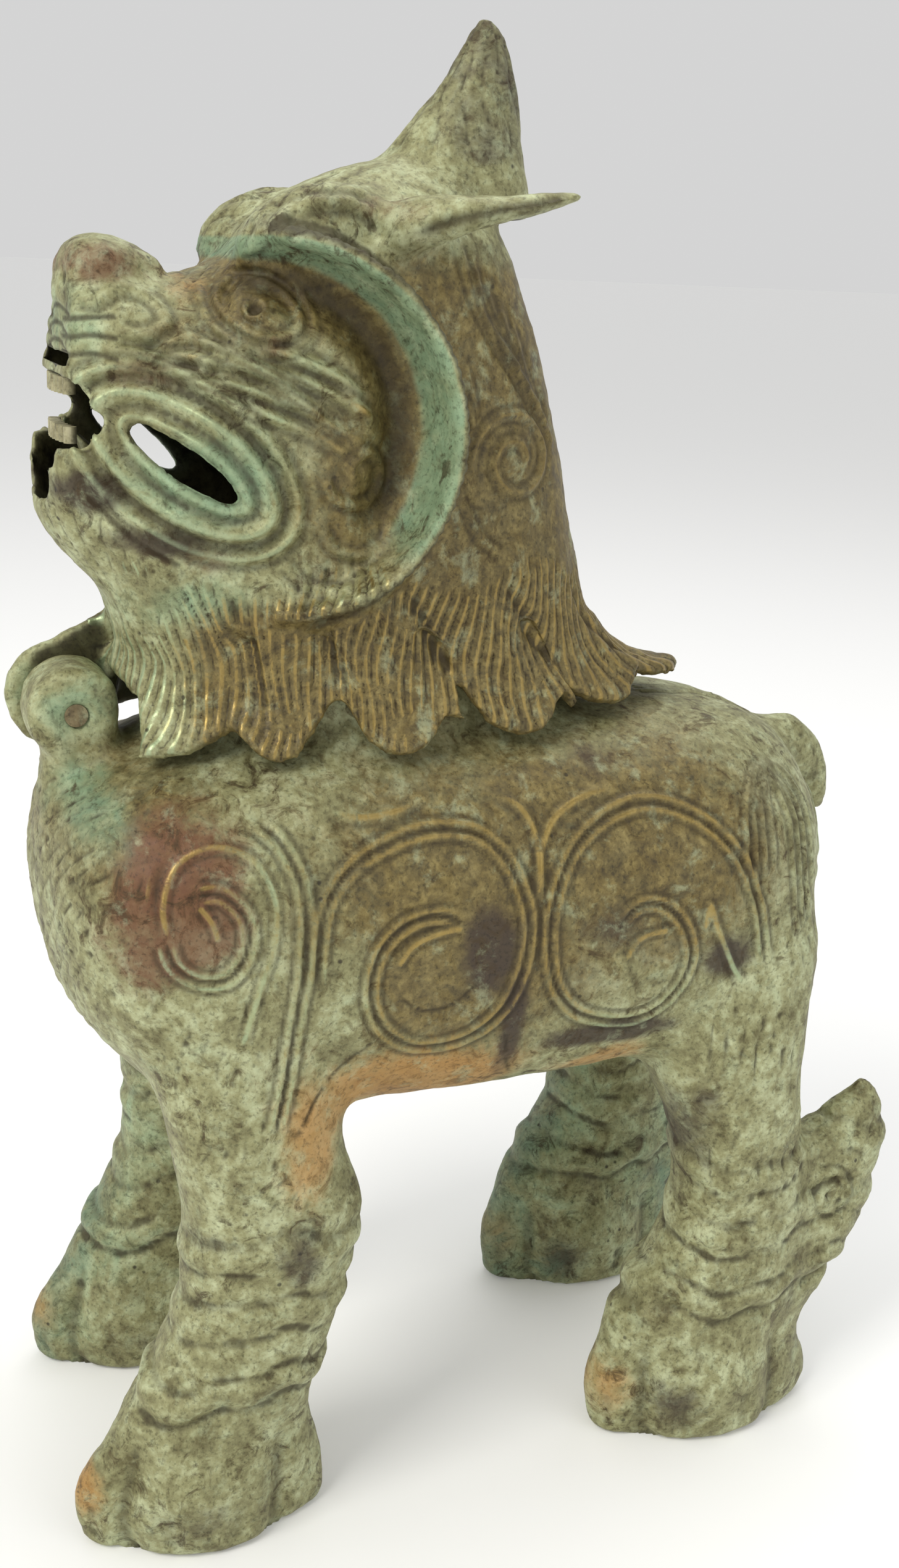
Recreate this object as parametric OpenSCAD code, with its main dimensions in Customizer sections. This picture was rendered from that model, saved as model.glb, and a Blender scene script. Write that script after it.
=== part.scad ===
// Foo dog incense burner: a hollow cast beast whose hinged head is the lid.
// Smoke rises from the body through the neck and leaves by the mouth and the cheek slots.
// The beast faces -Y, its left side is +X, and its soles stand on z = 0.

/* [Body] */
// Wall of the hollow body casting
body_wall = 4; // [3:0.5:5]
// Half width of the body at its flanks
flank_w = 61; // [59:1:63]
// Sideways distance from the middle to each paw
paw_x = 43; // [42:0.5:44]
// Half width of a paw across its toes
paw_w = 18.5; // [17:0.5:20]
// Half width of the upstanding neck rim
rim_w = 30; // [27:1:31]
// Half length of the upstanding neck rim
rim_l = 58; // [56:1:60]
// Thickness of the neck rim
rim_wall = 3; // [2.5:0.5:4]
// Height of the rim's top edge above the ground
rim_top = 237; // [233:1:239]

/* [Head] */
// Wall of the hollow head casting
head_wall = 3.5; // [3:0.5:4.5]
// Half width of the head across the cheeks
cheek_w = 38; // [37:0.5:39]
// Height of the horn's tip above the ground
horn_top = 401; // [396:1:406]
// Radius of each eyeball
eye_r = 7; // [6:0.5:8]
// Height of the front mouth gap
mouth_gap = 12; // [9:1:13]
// Number of incisors in each row
teeth = 8; // [6:1:9]
// Thickness of the mane collar
collar_wall = 3.5; // [3:0.5:4.5]

/* [Hinge] */
// Radius of the knuckle on the chest
knuckle_r = 12.5; // [12:0.5:13.5]
// Half length of the knuckle
knuckle_l = 11; // [9:0.5:12]
// Radius of the hinge pin
pin_r = 3; // [2.5:0.5:4]
// Radial running clearance of the pin in the knuckle
pin_gap = 0.06; // [0.03:0.01:0.1]
// Thickness of the ear that holds the pin
hinge_ear_t = 5; // [4:0.5:6]

/* [Hidden] */
$fn = 48;

bronze = [0.50, 0.55, 0.42];
ochre = [0.58, 0.45, 0.22];
verdigris = [0.55, 0.68, 0.58];
dark_bronze = [0.36, 0.31, 0.25];

// The modules below count y from midway between the front and the hind paws. The finished
// part is centred on its own footprint, so every node is moved back by this much.
centre_shift = 19.7;
// Where the hinge axis crosses the middle plane
hinge_y = -93;
hinge_z = 225;
// The mane collar keeps this far from the hinge axis, clear of the knuckle
collar_reach = knuckle_r + 2;
// Middle of the body's hollow, and of the neck opening
body_mid = [0, 10, 169];
neck_y = -14;
// Sides of a large loft, of a leg and of a small loft
big = 32;
leg_sides = 24;
small = 16;
// A cut right across the beast reaches this far on both sides
across_x = 64;

// ---------- lofts ----------

// A station is one cross-section, [y, z, y, z, half width, roundness, x, lobes]: the two ends of
// the section in the middle plane, its half width, its superellipse power, where its middle lies
// across x, and how far four lobes swell it.
function blend(a, b, c, d, t) =
    0.5 * (2 * b + (c - a) * t + (2 * a - 5 * b + 4 * c - d) * t * t
        + (3 * b - a - 3 * c + d) * t * t * t);
function station(keys, s) =
    let (last = len(keys) - 1, i = min(floor(s), last - 1))
    blend(keys[max(i - 1, 0)], keys[i], keys[i + 1], keys[min(i + 2, last)], s - i);
function stations(keys, per_key) =
    [for (i = [0 : (len(keys) - 1) * per_key]) station(keys, i / per_key)];
function bulge(v, power) = sign(v) * pow(abs(v), 2 / power);
function ring(s, sides) =
    [for (i = [0 : sides - 1])
        let (t = 360 * i / sides, grow = 1 + s[7] * cos(4 * t),
             u = grow * bulge(cos(t), s[5]), v = grow * bulge(sin(t), s[5]))
        [s[6] + s[4] * u, (s[0] + s[2] + v * (s[0] - s[2])) / 2, (s[1] + s[3] + v * (s[1] - s[3])) / 2]];
function rings(keys, per_key, sides) = [for (s = stations(keys, per_key)) ring(s, sides)];

function mean(list) = list * [for (v = list) 1] / len(list);
function flip(faces) = [for (f = faces) [f[0], f[2], f[1]]];
function volume(points, faces) =
    mean([for (f = faces) points[f[0]] * cross(points[f[1]], points[f[2]])]);

// A closed solid through a row of rings, each with the same number of points
module loft(rows) {
    n = len(rows[0]);
    last = len(rows) - 1;
    points = concat([for (row = rows) each row], [centre(rows[0]), centre(rows[last])]);
    sides = [for (j = [0 : last - 1], i = [0 : n - 1])
        let (a = j * n + i, b = j * n + (i + 1) % n) each [[a, b, b + n], [a, b + n, a + n]]];
    ends = [for (i = [0 : n - 1])
        let (k = (i + 1) % n)
        each [[(last + 1) * n, k, i], [(last + 1) * n + 1, last * n + i, last * n + k]]];
    faces = concat(sides, ends);
    polyhedron(points, volume(points, faces) > 0 ? flip(faces) : faces);
}
function centre(points) = [for (k = [0 : 2]) mean([for (p = points) p[k]])];

// Each ring drawn in towards its own middle by a wall
function inset(rows, wall) =
    [for (row = rows)
        let (c = centre(row), r = max([for (p = row) norm(p - c)]))
        [for (p = row) let (d = p - c) p - d * min(wall / max(norm(d), 1), 0.9)]];

module placed() translate([0, -centre_shift, 0]) children();
module on_side(right) if (right) mirror([1, 0, 0]) children(); else children();
// A prism across x, drawn by its outline of [y, z] points
module across(outline, x0, x1)
    translate([x0, 0, 0]) rotate([90, 0, 90]) linear_extrude(x1 - x0) polygon(outline);
function oval(w, l, n) = [for (i = [0 : n - 1]) [w * cos(360 * i / n), l * sin(360 * i / n)]];

// ---------- body ----------

torso_keys = [
    [-103, 190, -103, 168, 14, 2.1, 0, 0],
    [-101, 201, -100, 154, 34, 2.2, 0, 0],
    [-94, 209, -92, 139, 47, 2.4, 0, 0],
    [-82, 215, -80, 127, flank_w - 5, 2.5, 0, 0],
    [-60, 220, -56, 117, flank_w, 2.6, 0, 0],
    [-25, 223, -20, 114, flank_w, 2.7, 0, 0],
    [15, 223, 15, 113, flank_w, 2.7, 0, 0],
    [50, 223, 52, 115, flank_w, 2.7, 0, 0],
    [80, 222, 80, 119, flank_w - 1, 2.6, 0, 0],
    [102, 218, 98, 126, flank_w - 7, 2.4, 0, 0],
    [115, 209, 111, 138, 43, 2.3, 0, 0],
    [121, 199, 119, 153, 29, 2.2, 0, 0],
    [123, 187, 122, 168, 12, 2.1, 0, 0]];

module torso_block() loft(rings(torso_keys, 2, big));
module torso_hollow() {
    k = [1 - body_wall / flank_w, 1 - body_wall / 113, 1 - body_wall / 54];
    loft([for (row = rings(torso_keys, 1, big))
        [for (p = row) body_mid + [for (i = [0 : 2]) (p - body_mid)[i] * k[i]]]]);
}
// The rim is rooted in the back, and its opening runs on through it
rim_root = 212;
neck_cut = [190, 250];
// Running clearance of the hinge ear in its groove in the chest
groove_gap = 0.6;
module neck_prism(w, l, z0, z1)
    translate([0, neck_y, z0]) linear_extrude(z1 - z0) polygon(oval(w, l, $fn));

module torso_shell() color(ochre) placed()
    difference() {
        torso_block();
        torso_hollow();
        neck_prism(rim_w, rim_l, neck_cut[0], neck_cut[1]);
        // A shallow groove that the hinge ear swings in
        at_hinge(ear_x - groove_gap, ear_x + hinge_ear_t + groove_gap, hinge_ear_r + groove_gap);
    }

module neck_rim() color(dark_bronze) placed()
    difference() {
        neck_prism(rim_w, rim_l, rim_root, rim_top);
        neck_prism(rim_w - rim_wall, rim_l - rim_wall, neck_cut[0], neck_cut[1]);
    }

// The knuckle stands on a strap that runs down the chest
strap_keys = [
    [-101, 226, -84, 228, 7, 2.6, 0, 0],
    [-101, 214, -84, 214, 9, 2.6, 0, 0],
    [-102.5, 203, -88, 203, 11, 2.6, 0, 0],
    [-104, 191, -92, 191, 11, 2.6, 0, 0],
    [-104, 180, -96, 180, 8, 2.6, 0, 0],
    [-103, 171, -98, 171, 3, 2.4, 0, 0]];
module at_hinge(x0, x1, r) translate([x0, hinge_y, hinge_z]) rotate([0, 90, 0]) cylinder(h = x1 - x0, r = r);
module chest_knuckle() color(verdigris) placed()
    difference() {
        union() {
            at_hinge(-knuckle_l, knuckle_l, knuckle_r);
            loft(rings(strap_keys, 3, small));
        }
        torso_block();
        at_hinge(-knuckle_l - 1, knuckle_l + 1, pin_r + pin_gap);
    }

front_leg_keys = [
    [-98, 0, -36, 0, paw_w - 2, 2.3, paw_x, 0.09],
    [-102, 6, -34, 5, paw_w, 2.2, paw_x, 0.11],
    [-102, 14, -35, 12, paw_w, 2.2, paw_x, 0.11],
    [-97, 24, -36, 22, 18, 2.2, paw_x, 0.08],
    [-92, 34, -38, 32, 17, 2.3, paw_x, 0.03],
    [-89, 43, -37, 42, 17.5, 2.4, paw_x, 0],
    [-82, 54, -33, 54, 18, 2.4, paw_x, 0],
    [-76, 68, -29, 68, 17.5, 2.4, paw_x, 0],
    [-74, 82, -24, 84, 18, 2.4, paw_x, 0],
    [-74, 96, -23, 98, 18.5, 2.4, paw_x, 0],
    [-76, 112, -31, 116, 19, 2.4, 42.5, 0],
    [-80, 130, -32, 136, 19.5, 2.4, 41, 0],
    [-80, 148, -38, 152, 17, 2.3, 40, 0]];
rear_leg_keys = [
    [56, 0, 122, 0, paw_w - 2, 2.3, paw_x, 0.09],
    [53, 6, 125, 5, paw_w, 2.2, paw_x, 0.11],
    [53, 14, 124, 12, paw_w, 2.2, paw_x, 0.11],
    [55, 24, 121, 22, 18, 2.2, paw_x, 0.08],
    [55, 34, 118, 32, 17, 2.3, paw_x, 0.03],
    [57, 43, 118, 42, 17.5, 2.4, paw_x, 0],
    [66, 52, 118, 56, 18, 2.4, paw_x, 0],
    [74, 66, 118, 72, 17.5, 2.4, paw_x, 0],
    [76, 82, 115, 90, 17.5, 2.4, paw_x, 0],
    [73, 98, 112, 106, 18.5, 2.4, paw_x, 0],
    [67, 112, 111, 122, 19.5, 2.4, 42, 0],
    [62, 130, 114, 140, 21, 2.4, 40, 0],
    [62, 152, 116, 160, 20, 2.3, 39, 0],
    [72, 172, 110, 176, 12, 2.2, 38, 0]];
module leg_block(keys, right) on_side(right) loft(rings(keys, 1, leg_sides));
module leg(keys, right)
    color(verdigris) placed() difference() {
        leg_block(keys, right);
        torso_block();
    }

// A curled tuft that stands up behind each hock
flame_keys = [
    [121, 20, 104, 22, 7, 2.3, paw_x, 0],
    [128, 36, 106, 40, 9, 2.3, paw_x, 0],
    [136, 50, 107, 56, 10, 2.3, paw_x, 0],
    [143, 65, 108, 72, 10, 2.3, paw_x, 0],
    [147, 82, 110, 86, 9, 2.3, paw_x, 0],
    [147, 94, 121, 95, 7, 2.3, paw_x, 0],
    [144, 102, 131, 101, 4.5, 2.2, paw_x, 0],
    [138, 108, 135, 106, 1.5, 2.1, paw_x, 0]];
module hock_flame(right) color(bronze) placed()
    difference() {
        on_side(right) loft(rings(flame_keys, 2, small));
        leg_block(rear_leg_keys, right);
    }

tail_keys = [
    [106, 208, 112, 190, 8, 2.3, 0, 0],
    [120, 213, 118, 194, 9, 2.3, 0, 0],
    [132, 208, 124, 192, 8, 2.3, 0, 0],
    [140, 197, 129, 188, 7, 2.3, 0, 0],
    [142, 187, 132, 183, 6, 2.3, 0, 0],
    [142, 179, 135, 179, 5, 2.3, 0, 0]];
module tail() color(dark_bronze) placed()
    difference() {
        loft(rings(tail_keys, 3, small));
        torso_block();
    }

// ---------- head ----------

head_keys = [
    [-93, 331, -99, 284, 15, 2.4, 0, 0],
    [-90, 336, -101, 277, 22, 2.6, 0, 0],
    [-80, 337, -95, 267, 26, 2.6, 0, 0],
    [-67, 334, -88, 260, 30, 2.6, 0, 0],
    [-55, 338, -84, 254, 34, 2.5, 0, 0],
    [-42, 352, -82.5, 250, 37, 2.4, 0, 0],
    [-22, 362, -81.5, 247, cheek_w, 2.4, 0, 0],
    [0, 365, -81, 244, cheek_w, 2.3, 0, 0],
    [16, 353, -80.5, 242, cheek_w, 2.3, 0, 0],
    [26, 334, -80, 240.5, cheek_w - 0.5, 2.3, 0, 0],
    [35, 309, -79.5, 239, cheek_w - 1, 2.3, 0, 0],
    [42, 282, -79, 237.5, cheek_w - 1.5, 2.3, 0, 0],
    [48, 257, -78.5, 235.5, cheek_w - 1, 2.3, 0, 0],
    [52, 242, -78, 234, cheek_w, 2.3, 0, 0]];
function head_rings() = rings(head_keys, 2, big);
// The rings of the muzzle's first key are left out of the hollow, as the front wall
function hollow_rings() =
    let (all = inset(rings(head_keys, 1, big), head_wall)) [for (i = [1 : len(all) - 1]) all[i]];
// The hollow runs on past the open neck
module head_hollow()
    loft(concat(hollow_rings(), [[for (p = hollow_rings()[len(hollow_rings()) - 1]) p - [0, 0, 8]]]));
module head_block() loft(head_rings());

// The jaw is what lies below the mouth line and ahead of the cheek
jaw_line = [[-130, 298], [-82, 298], [-60, 284], [-66, 262], [-71, 225], [-130, 225]];
mouth_z = 300;
// The mouth's half width at the lips, and how far each lip's edge is from its middle line
mouth_w = 40;
lower_lip = mouth_z - mouth_gap / 2;
upper_lip = mouth_z + mouth_gap * 0.8;
// A slanted oval slot through each cheek, high at its front end
slot_at = [-69.5, 291];
slot_l = 14.5;
slot_h = 5.2;
slot_tilt = 35;
module mouth_cut() {
    across([[-120, lower_lip], [-120, upper_lip], [-93, upper_lip], [-87, mouth_z], [-91, lower_lip]],
        -mouth_w, mouth_w);
    across([for (t = [0 : 20 : 340]) let (u = slot_l * cos(t), v = slot_h * sin(t))
            slot_at + [u * cos(slot_tilt) + v * sin(slot_tilt), v * cos(slot_tilt) - u * sin(slot_tilt)]],
        -across_x, across_x);
}
module skull_shell() color(bronze) placed()
    difference() {
        head_block();
        head_hollow();
        across(jaw_line, -across_x, across_x);
        mouth_cut();
    }
module lower_jaw() color(verdigris) placed()
    difference() {
        intersection() {
            head_block();
            across(jaw_line, -across_x, across_x);
        }
        head_hollow();
        mouth_cut();
    }

horn_keys = [
    [-14, 356, 30, 350, 17, 2.2, 0, 0],
    [-9, 368, 28, 362, 14, 2.2, 0, 0],
    [-1, 377, 26, 370, 11.5, 2.2, 0, 0],
    [5, horn_top - 16, 25, horn_top - 22, 9, 2.2, 0, 0],
    [10, horn_top - 7, 22.5, horn_top - 11, 6, 2.1, 0, 0],
    [14, horn_top - 1, 18, horn_top - 3, 2.5, 2, 0, 0]];
module horn() color(bronze) placed()
    difference() {
        loft(rings(horn_keys, 3, small));
        head_block();
    }

ear_keys = [
    [-22, 352, -20, 338, 8, 2.2, 30, 0],
    [-12, 355, -10, 343, 10, 2.2, 35, 0],
    [-2, 355, -1, 347, 10, 2.2, 39, 0],
    [9, 356, 9, 350, 9, 2.2, 42, 0],
    [18, 357, 18, 353, 6, 2.1, 44, 0],
    [24, 357, 24, 355, 2, 2, 45, 0]];
module ear(right) color(bronze) placed()
    difference() {
        on_side(right) loft(rings(ear_keys, 2, small));
        head_block();
        brow_block(right);
    }

// A crescent fin behind each cheek, round this middle
flange_mid = [-51, 299];
flange_r = 45;
flange_t = 4.5;
flange_sides = 12;
function flange_station(a) =
    let (fade = pow(max(cos((a - 2) * 0.97), 0), 0.4),
         r0 = flange_r - flange_t / 2, r1 = flange_r + flange_t / 2)
    [flange_mid[0] + r1 * cos(a), flange_mid[1] + r1 * sin(a), flange_mid[0] + r0 * cos(a),
     flange_mid[1] + r0 * sin(a), 2 + 8 * fade, 2.6, 30 + 7 * fade, 0];
module cheek_flange(right) color(dark_bronze) placed()
    difference() {
        on_side(right) loft([for (i = [0 : 22]) ring(flange_station(-88 + 8 * i), flange_sides)]);
        head_block();
        brow_block(right);
    }

brow_keys = [
    [-55, 341, -52, 332, 5, 2.2, 20, 0],
    [-51, 349, -45, 335, 10, 2.3, 21, 0],
    [-42, 355, -38, 338, 12, 2.3, 22, 0],
    [-33, 357, -29, 341, 11, 2.3, 23, 0],
    [-23, 357, -21, 346, 6, 2.2, 24, 0]];
module brow_block(right) on_side(right) loft(rings(brow_keys, 2, small));
module brow(right) color(bronze) placed()
    difference() {
        brow_block(right);
        head_block();
    }

eye_at = [30, -51, 327];
module eye(right) color(verdigris) placed()
    difference() {
        on_side(right) translate(eye_at) sphere(eye_r);
        head_block();
        brow_block(right);
    }

nose_keys = [
    [-93, 338, -95, 328, 12, 2.4, 0, 0],
    [-89, 342.5, -92, 327, 16, 2.4, 0, 0],
    [-80, 342.5, -82, 330, 16, 2.3, 0, 0],
    [-70, 338, -71, 331, 10, 2.2, 0, 0]];
module nose() color(bronze) placed()
    difference() {
        loft(rings(nose_keys, 3, small));
        head_block();
    }

// A row of incisors on the lip's edge, along the curve of the muzzle
tooth_r = 1.6;
tooth_h = 4;
tooth_row_w = 28;
tooth_row_y = -94.5;
muzzle_curve = 0.008;
module tooth_row(z) color(dark_bronze) placed()
    for (i = [0 : teeth - 1])
        let (x = (i - (teeth - 1) / 2) * tooth_row_w / teeth)
        translate([x, tooth_row_y + muzzle_curve * x * x, z]) cylinder(h = tooth_h, r = tooth_r);

tongue_keys = [
    [-64, 281, -64, 273, 6, 2.2, 0, 0],
    [-74, 286, -72, 275, 9, 2.3, 0, 0],
    [-84, 291, -82, 279, 9, 2.3, 0, 0],
    [-89, 295, -87, 285, 7, 2.3, 0, 0],
    [-91.5, 298, -89.5, 293, 3, 2.1, 0, 0]];
module tongue() color(verdigris) placed()
    difference() {
        loft(rings(tongue_keys, 2, small));
        difference() {
            head_block();
            head_hollow();
        }
    }

// The collar falls from the neck like a skirt whose edge is cut into rounded lobes
// Each lobe: the angle where it starts, its tip's angle, its tip's depth and its start's depth
lobes = [[-60, -44, 0.93, 0.45], [-32, -22, 0.98, 0.5], [-13, 1, 0.93, 0.28], [9, 22, 0.82, 0.22],
    [33, 46, 0.74, 0.3], [62, 90, 0.95, 0.4], [118, 0, 0, 0.4]];
collar_n = 120;
collar_rows = 4;
// At its top and at its edge: half width, half length, the middle's place and the height
collar_top = [cheek_w, 66, -13, 248];
collar_edge = [46, 94, -7, 220];
// The edge lifts by this much at the back, and the lobes sweep back
edge_lift = 11;
lobe_sweep = 9;
front_edge = 0.35;
function lobe_at(a) = len([for (l = lobes) if (l[0] <= a) l]) - 1;
// How far down the skirt its edge lies, at an angle from the left side towards the back
function edge_at(a) =
    a < lobes[0][0] ? front_edge :
    let (k = lobe_at(a), here = lobes[k], next = lobes[k + 1],
         u = a < here[1] ? 0.5 * (a - here[0]) / (here[1] - here[0])
             : 1 - 0.5 * (next[0] - a) / (next[0] - here[1]),
         base = here[3] + (next[3] - here[3]) * u)
    base + (here[2] - base) * pow(sin(180 * u), 0.5);
function side_angle(a) = let (w = (a + 450) % 360 - 90) w > 90 ? 180 - w : w;
function skirt(a, s) =
    let (now = collar_top + (collar_edge - collar_top) * pow(s, 1.2), down = sin(90 * pow(s, 0.85)),
         low = collar_edge[3] + edge_lift * pow(max(sin(side_angle(a)), 0), 2),
         c = a + lobe_sweep * sin(2 * a) * s)
    [now[0] * cos(c), now[2] + now[1] * sin(c), collar_top[3] + (low - collar_top[3]) * down];
function skirt_in(a, s) =
    let (around = skirt(a + 1, s) - skirt(a - 1, s),
         down = skirt(a, min(s + 0.02, 1)) - skirt(a, max(s - 0.02, 0)), d = cross(around, down))
    skirt(a, s) + collar_wall * d / norm(d);
module collar_block()
    difference() {
        loft_ring([for (i = [0 : collar_n - 1])
            let (a = 360 * i / collar_n, e = edge_at(side_angle(a)))
            concat([for (j = [0 : collar_rows]) skirt(a, e * j / collar_rows)],
                   [for (j = [collar_rows : -1 : 0]) skirt_in(a, e * j / collar_rows)])]);
        at_hinge(-60, 60, collar_reach);
        head_block();
    }
module mane_collar() color(ochre) placed() collar_block();
// A closed ring-shaped solid through sections that follow one another round a loop
module loft_ring(rows) {
    n = len(rows[0]);
    m = len(rows);
    points = [for (row = rows) each row];
    faces = [for (j = [0 : m - 1], i = [0 : n - 1])
        let (k = (i + 1) % n, next = ((j + 1) % m) * n,
             a = j * n + i, b = j * n + k, c = next + i, d = next + k)
        each [[a, b, d], [a, d, c]]];
    polyhedron(points, volume(points, faces) > 0 ? flip(faces) : faces);
}

// The ear on the head's right holds the pin, and the pin turns in the knuckle
ear_x = -knuckle_l - 1 - hinge_ear_t;
hinge_ear_r = knuckle_r + 2.5;
module hinge_ear() color(verdigris) placed()
    difference() {
        union() {
            at_hinge(ear_x, ear_x + hinge_ear_t, hinge_ear_r);
            across([[-99, 238], [-90, 243], [-78, 249], [-77, 240], [-83, 228]], ear_x, ear_x + hinge_ear_t);
        }
        at_hinge(ear_x - 1, ear_x + hinge_ear_t + 1, pin_r);
        head_block();
        collar_block();
    }
module hinge_pin() color(dark_bronze) placed() at_hinge(ear_x, knuckle_l - 1, pin_r);

// ---------- nodes ----------

torso_shell();
neck_rim();
chest_knuckle();
hinge_pin();
leg(front_leg_keys, false);  // front_left_leg
leg(front_leg_keys, true);  // front_right_leg
leg(rear_leg_keys, false);  // rear_left_leg
leg(rear_leg_keys, true);  // rear_right_leg
hock_flame(false);  // hock_flame_left
hock_flame(true);  // hock_flame_right
tail();
skull_shell();
lower_jaw();
mane_collar();
hinge_ear();
horn();
ear(false);  // ear_left
ear(true);  // ear_right
cheek_flange(false);  // cheek_flange_left
cheek_flange(true);  // cheek_flange_right
brow(false);  // brow_left
brow(true);  // brow_right
eye(false);  // eye_left
eye(true);  // eye_right
nose();
tooth_row(upper_lip - tooth_h);  // upper_teeth
tooth_row(lower_lip);  // lower_teeth
tongue();
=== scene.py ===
import math

import bmesh
import bpy
import numpy as np
from mathutils import Matrix, Vector


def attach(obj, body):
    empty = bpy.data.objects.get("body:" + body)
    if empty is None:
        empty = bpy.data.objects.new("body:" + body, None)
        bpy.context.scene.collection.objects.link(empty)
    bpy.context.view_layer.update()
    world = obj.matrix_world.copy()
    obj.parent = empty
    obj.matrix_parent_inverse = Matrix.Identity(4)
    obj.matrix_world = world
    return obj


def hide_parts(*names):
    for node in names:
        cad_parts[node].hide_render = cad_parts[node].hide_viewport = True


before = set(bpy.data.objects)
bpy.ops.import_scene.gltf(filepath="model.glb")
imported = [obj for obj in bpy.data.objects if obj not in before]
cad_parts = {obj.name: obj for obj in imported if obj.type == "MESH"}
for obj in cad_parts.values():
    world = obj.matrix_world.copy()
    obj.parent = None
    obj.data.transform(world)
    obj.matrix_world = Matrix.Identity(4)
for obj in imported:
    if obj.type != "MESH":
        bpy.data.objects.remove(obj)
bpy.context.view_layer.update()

# The beast faces -Y and its left side is +X. The carving is laid out in millimetres, with y
# counted from midway between the front and the hind paws.
MM = 0.001
PAW_SHIFT = np.array([0.0, 19.7, 0.0], np.float32)


# ---------- castings ----------

def cast(name, nodes, grain):
    """One casting poured from several CAD nodes: their union, in an even skin of small faces."""
    bm = bmesh.new()
    for node in nodes:
        bm.from_mesh(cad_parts[node].data)
    bmesh.ops.remove_doubles(bm, verts=bm.verts, dist=1e-6)
    rough = bpy.data.meshes.new(name)
    bm.to_mesh(rough)
    bm.free()
    wax = bpy.data.objects.new(name, rough)
    bpy.context.scene.collection.objects.link(wax)
    skin = wax.modifiers.new("skin", "REMESH")
    skin.mode = "VOXEL"
    skin.voxel_size = grain * MM
    mesh = bpy.data.meshes.new_from_object(wax.evaluated_get(bpy.context.evaluated_depsgraph_get()))
    bpy.data.objects.remove(wax)
    return mesh


def places(mesh):
    co = np.empty(len(mesh.vertices) * 3, np.float32)
    mesh.vertices.foreach_get("co", co)
    return co.reshape(-1, 3) / MM + PAW_SHIFT


def normals(mesh):
    out = np.empty(len(mesh.vertices) * 3, np.float32)
    mesh.vertex_normals.foreach_get("vector", out)
    return out.reshape(-1, 3)


def put(mesh, p):
    mesh.vertices.foreach_set("co", ((p - PAW_SHIFT) * MM).astype(np.float32).ravel())
    mesh.update()


def links(mesh):
    pairs = np.empty(len(mesh.edges) * 2, np.int32)
    mesh.edges.foreach_get("vertices", pairs)
    return pairs.reshape(-1, 2)


def soften(p, pairs, rounds, hold):
    """Rubs the skin smooth, less where hold is near one."""
    n = len(p)
    a, b = pairs.T
    count = np.bincount(a, minlength=n) + np.bincount(b, minlength=n)
    free = ((1 - hold) * 0.6)[:, None]
    for _ in range(rounds):
        near = np.stack([np.bincount(a, p[b, k], n) + np.bincount(b, p[a, k], n) for k in range(3)], 1)
        p = p + free * (near / count[:, None] - p)
    return p.astype(np.float32)


def spread(value, pairs, rounds):
    """A value on the skin, averaged with its neighbours."""
    n = len(value)
    a, b = pairs.T
    count = np.bincount(a, minlength=n) + np.bincount(b, minlength=n)
    for _ in range(rounds):
        value = 0.5 * value + 0.5 * (np.bincount(a, value[b], n) + np.bincount(b, value[a], n)) / count
    return value.astype(np.float32)


# ---------- carving tools ----------

def smooth(v, low, high):
    t = np.clip((v - low) / (high - low), 0, 1)
    return t * t * (3 - 2 * t)


def bell(v, middle, width):
    return np.exp(-((v - middle) / width) ** 2)


def blob(u, v, cu, cv, ru, rv):
    return bell(u, cu, ru) * bell(v, cv, rv)


def wander(p, size, seed):
    """A soft irregular field of about -1 to 1."""
    rng = np.random.default_rng(seed)
    total = np.zeros(len(p), np.float32)
    for k in range(7):
        d = rng.normal(size=3)
        d *= (0.7 + 0.9 * k / 6) * 2 * math.pi / size / np.linalg.norm(d)
        total += np.sin(p @ d.astype(np.float32) + rng.uniform(0, 6.28)).astype(np.float32)
    return total / 3.2


def stroke(points, step=1.2):
    """A smooth line through given points."""
    pts = np.array(points, np.float32)
    padded = np.vstack([2 * pts[0] - pts[1], pts, 2 * pts[-1] - pts[-2]])
    out = []
    for a, b, c, d in zip(padded, padded[1:], padded[2:], padded[3:]):
        n = max(2, int(np.linalg.norm(c - b) / step))
        t = (np.arange(n) / n)[:, None]
        out.append(0.5 * (2 * b + (c - a) * t + (2 * a - 5 * b + 4 * c - d) * t * t
                          + (3 * b - a - 3 * c + d) * t ** 3))
    return np.vstack([*out, pts[-1:]]).astype(np.float32)


def scroll(cu, cv, r0, r1, start, turn, squash=1.0, tilt=0.0, n=26):
    """Points of a spiral: from radius r0 to r1 while it turns."""
    t = np.linspace(0, 1, n)
    a = np.radians(start + turn * t)
    r = r0 + (r1 - r0) * t
    u, v = r * np.cos(a), r * np.sin(a) * squash
    c, s = math.cos(math.radians(tilt)), math.sin(math.radians(tilt))
    return np.stack([cu + u * c - v * s, cv + u * s + v * c], 1)


def along(q, line):
    """Each point's distance from a line, and how far along it that is, 0 to 1."""
    a, b = line[:-1], line[1:]
    d = b - a
    length = np.maximum((d ** 2).sum(1), 1e-6)
    far = np.full(len(q), 1e6, np.float32)
    place = np.zeros(len(q), np.float32)
    reach = 9.0
    low, high = line.min(0) - reach, line.max(0) + reach
    near = np.flatnonzero(((q > low) & (q < high)).all(1))
    for part in np.array_split(near, max(1, len(near) // 20000)):
        if not len(part):
            continue
        w = q[part][:, None, :] - a[None]
        t = np.clip((w * d[None]).sum(2) / length[None], 0, 1)
        gap = ((w - t[:, :, None] * d[None]) ** 2).sum(2)
        k = gap.argmin(1)
        far[part] = np.sqrt(gap[np.arange(len(part)), k])
        place[part] = (k + t[np.arange(len(part)), k]) / len(a)
    return far, place


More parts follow.
